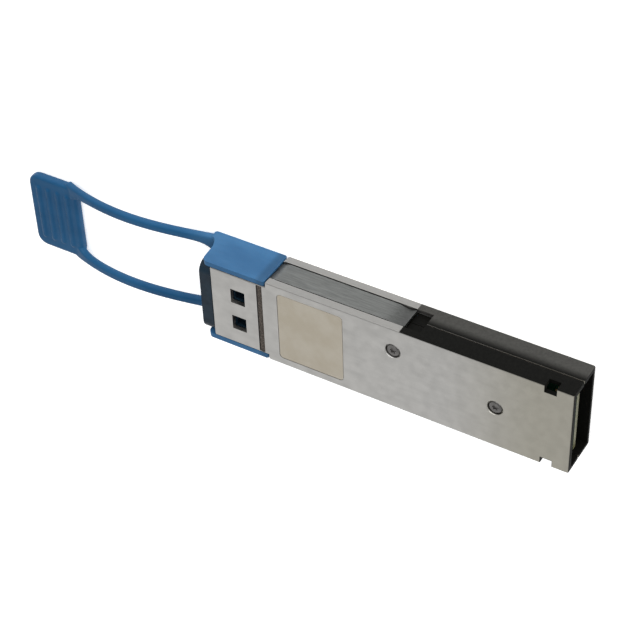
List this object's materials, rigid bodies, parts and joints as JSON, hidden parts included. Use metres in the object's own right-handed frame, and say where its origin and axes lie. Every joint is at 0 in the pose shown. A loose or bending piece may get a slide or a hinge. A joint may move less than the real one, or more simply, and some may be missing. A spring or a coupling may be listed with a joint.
{
  "type": "optical transceiver module",
  "caption": "Pluggable optical transceiver: metal housing halves, duplex fibre receptacle, card-edge board and a pull tab that draws a sprung de-latching slider forward.",
  "frame": {"origin": "middle of the housing's flat heat-sink face: half way between the nose front and the host connector end, on the centre line", "axes": "+X from the fibre receptacle to the host connector end, +Y to the left side seen from the pull tab's end looking at the label face, +Z from the heat-sink face to the label face"},
  "size_m": [0.1178, 0.0184, 0.0085],
  "materials": {
    "nickel_zinc": "satin nickel plating on die-cast zinc",
    "stamped_steel": "fine rolled stainless sheet",
    "turned_steel": "turned, bright",
    "screw_steel": "blackened",
    "spring_steel": "drawn wire",
    "conductive_rubber": "matte, filled elastomer",
    "label_film": "satin polyester film, unprinted",
    "black_plastic": "moulded, fine texture",
    "blue_plastic": "moulded, satin",
    "zirconia": "polished",
    "gold_plate": "gold-plated package",
    "board_laminate": "solder mask over glass laminate",
    "polyimide": "amber film",
    "chip_package": "moulded epoxy, unmarked",
    "ferrite": "matte",
    "absorber": "matte, iron-filled silicone",
    "capacitor_resin": "moulded resin, unmarked",
    "thermal_pad": "soft silicone pad"
  },
  "bodies": {
    "module_body": {"lower_housing": "nickel_zinc", "upper_cover": "nickel_zinc", "case_screw_front": "screw_steel", "case_screw_rear": "screw_steel", "seam_gasket_left": "conductive_rubber", "seam_gasket_right": "conductive_rubber", "emi_gasket_upper": "conductive_rubber", "emi_gasket_lower": "conductive_rubber", "blank_label": "label_film", "lc_receptacle": "black_plastic", "tx_port_barrel": "turned_steel", "rx_port_barrel": "turned_steel", "tx_ferrule_sleeve": "zirconia", "rx_ferrule_sleeve": "zirconia", "laser_package": "gold_plate", "receiver_package": "gold_plate", "port_saddle": "stamped_steel", "tx_flex_circuit": "polyimide", "rx_flex_circuit": "polyimide", "tx_thermal_pad": "thermal_pad", "rx_thermal_pad": "thermal_pad", "retimer_thermal_pad": "thermal_pad", "rf_absorber_pad": "absorber", "insulating_film": "polyimide", "main_board": "board_laminate", "retimer_chip_tx": "chip_package", "retimer_chip_rx": "chip_package", "laser_driver_chip": "chip_package", "receiver_amplifier_chip": "chip_package", "microcontroller_chip": "chip_package", "cooler_driver_chip": "chip_package", "power_inductor_1": "ferrite", "power_inductor_2": "ferrite", "tantalum_capacitor_1": "capacitor_resin", "tantalum_capacitor_2": "capacitor_resin", "clock_crystal": "turned_steel", "return_spring_left": "spring_steel", "return_spring_right": "spring_steel"},
    "delatch": {"delatch_slider": "stamped_steel", "pull_tab": "blue_plastic"}
  },
  "joints": [
    {"name": "delatch_slide", "type": "slide", "parent": "module_body", "child": "delatch", "axis": [-1, 0, 0], "range_m": [0, 0.0025], "stiffness_N_per_m": 600, "springref_m": -0.003, "deforming": ["return_spring_left", "return_spring_right"]}
  ]
}
